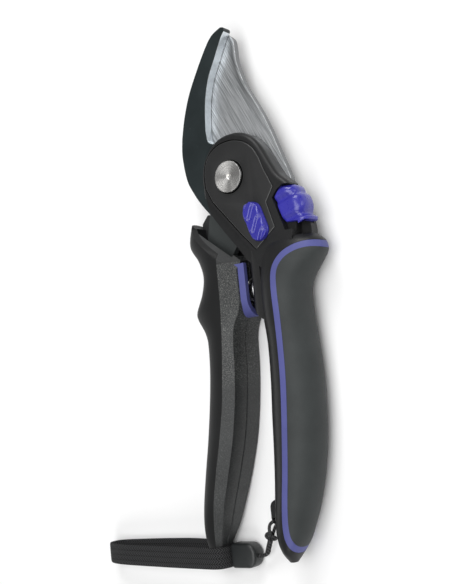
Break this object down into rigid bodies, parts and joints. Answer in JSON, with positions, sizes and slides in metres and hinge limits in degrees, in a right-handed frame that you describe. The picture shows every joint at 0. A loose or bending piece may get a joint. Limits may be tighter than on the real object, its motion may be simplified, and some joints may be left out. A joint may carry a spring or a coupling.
{
  "type": "bypass pruner",
  "caption": "Bypass pruner with a coated hook, steel blade, dark grips with a violet line, thumb lock, opening selector, spring and wrist strap.",
  "frame": {"origin": "On the pivot axis, at the surface that the pruner lies on", "axes": "+X runs along the tool to the jaw's tip, +Y to the left handle, +Z out of the front, along the pivot bolt"},
  "size_m": [0.219, 0.1315, 0.02],
  "materials": {
    "black_plastic": "matte, satin on the head's rim",
    "grip_rubber": "satin soft-touch",
    "violet_line": "satin",
    "violet_gloss": "gloss",
    "dark_coating": "satin non-stick coating",
    "blade_steel": "ground, fine slanted lines",
    "bolt_steel": "turned, with rings about its centre",
    "bronze": "plain",
    "nylon_charcoal": "glass-filled, slightly grainy",
    "webbing": "herringbone weave",
    "cord": "twisted"
  },
  "bodies": {
    "right_half": {"right_handle": "black_plastic", "rubber_grip": "grip_rubber", "accent_strip": "violet_line", "counter_hook": "dark_coating", "hook_rivets": "bolt_steel", "cover_plate": "black_plastic", "pivot_bolt": "bolt_steel", "pivot_bush": "bronze", "pivot_washer": "bolt_steel", "pivot_nut": "bolt_steel", "spring": "bolt_steel", "lock_leaf": "bolt_steel", "strap_webbing": "webbing", "strap_cap": "nylon_charcoal", "lanyard_cord": "cord", "cord_knot": "cord"},
    "blade_half": {"cutting_blade": "blade_steel", "left_handle": "nylon_charcoal", "left_grip": "grip_rubber", "spring_cup": "violet_line", "tang_pins": "bolt_steel"},
    "lock": {"lock_slider": "violet_gloss", "lock_pawl": "bolt_steel"},
    "selector": {"selector_button": "violet_gloss", "selector_slide": "bolt_steel"}
  },
  "joints": [
    {"name": "blade_pivot", "type": "hinge", "parent": "right_half", "child": "blade_half", "pos_m": [0, 0, 0.01], "axis": [0, 0, -1], "range_deg": [0, 25], "stiffness_Nm_per_rad": 0.05, "springref_deg": 40.11, "deforming": ["spring"]},
    {"name": "lock_slide", "type": "slide", "parent": "right_half", "child": "lock", "axis": [-0.9511, -0.309, 0], "range_m": [0, 0.003]},
    {"name": "selector_slide", "type": "slide", "parent": "right_half", "child": "selector", "axis": [0.9511, 0.309, 0], "range_m": [0, 0.004]}
  ]
}
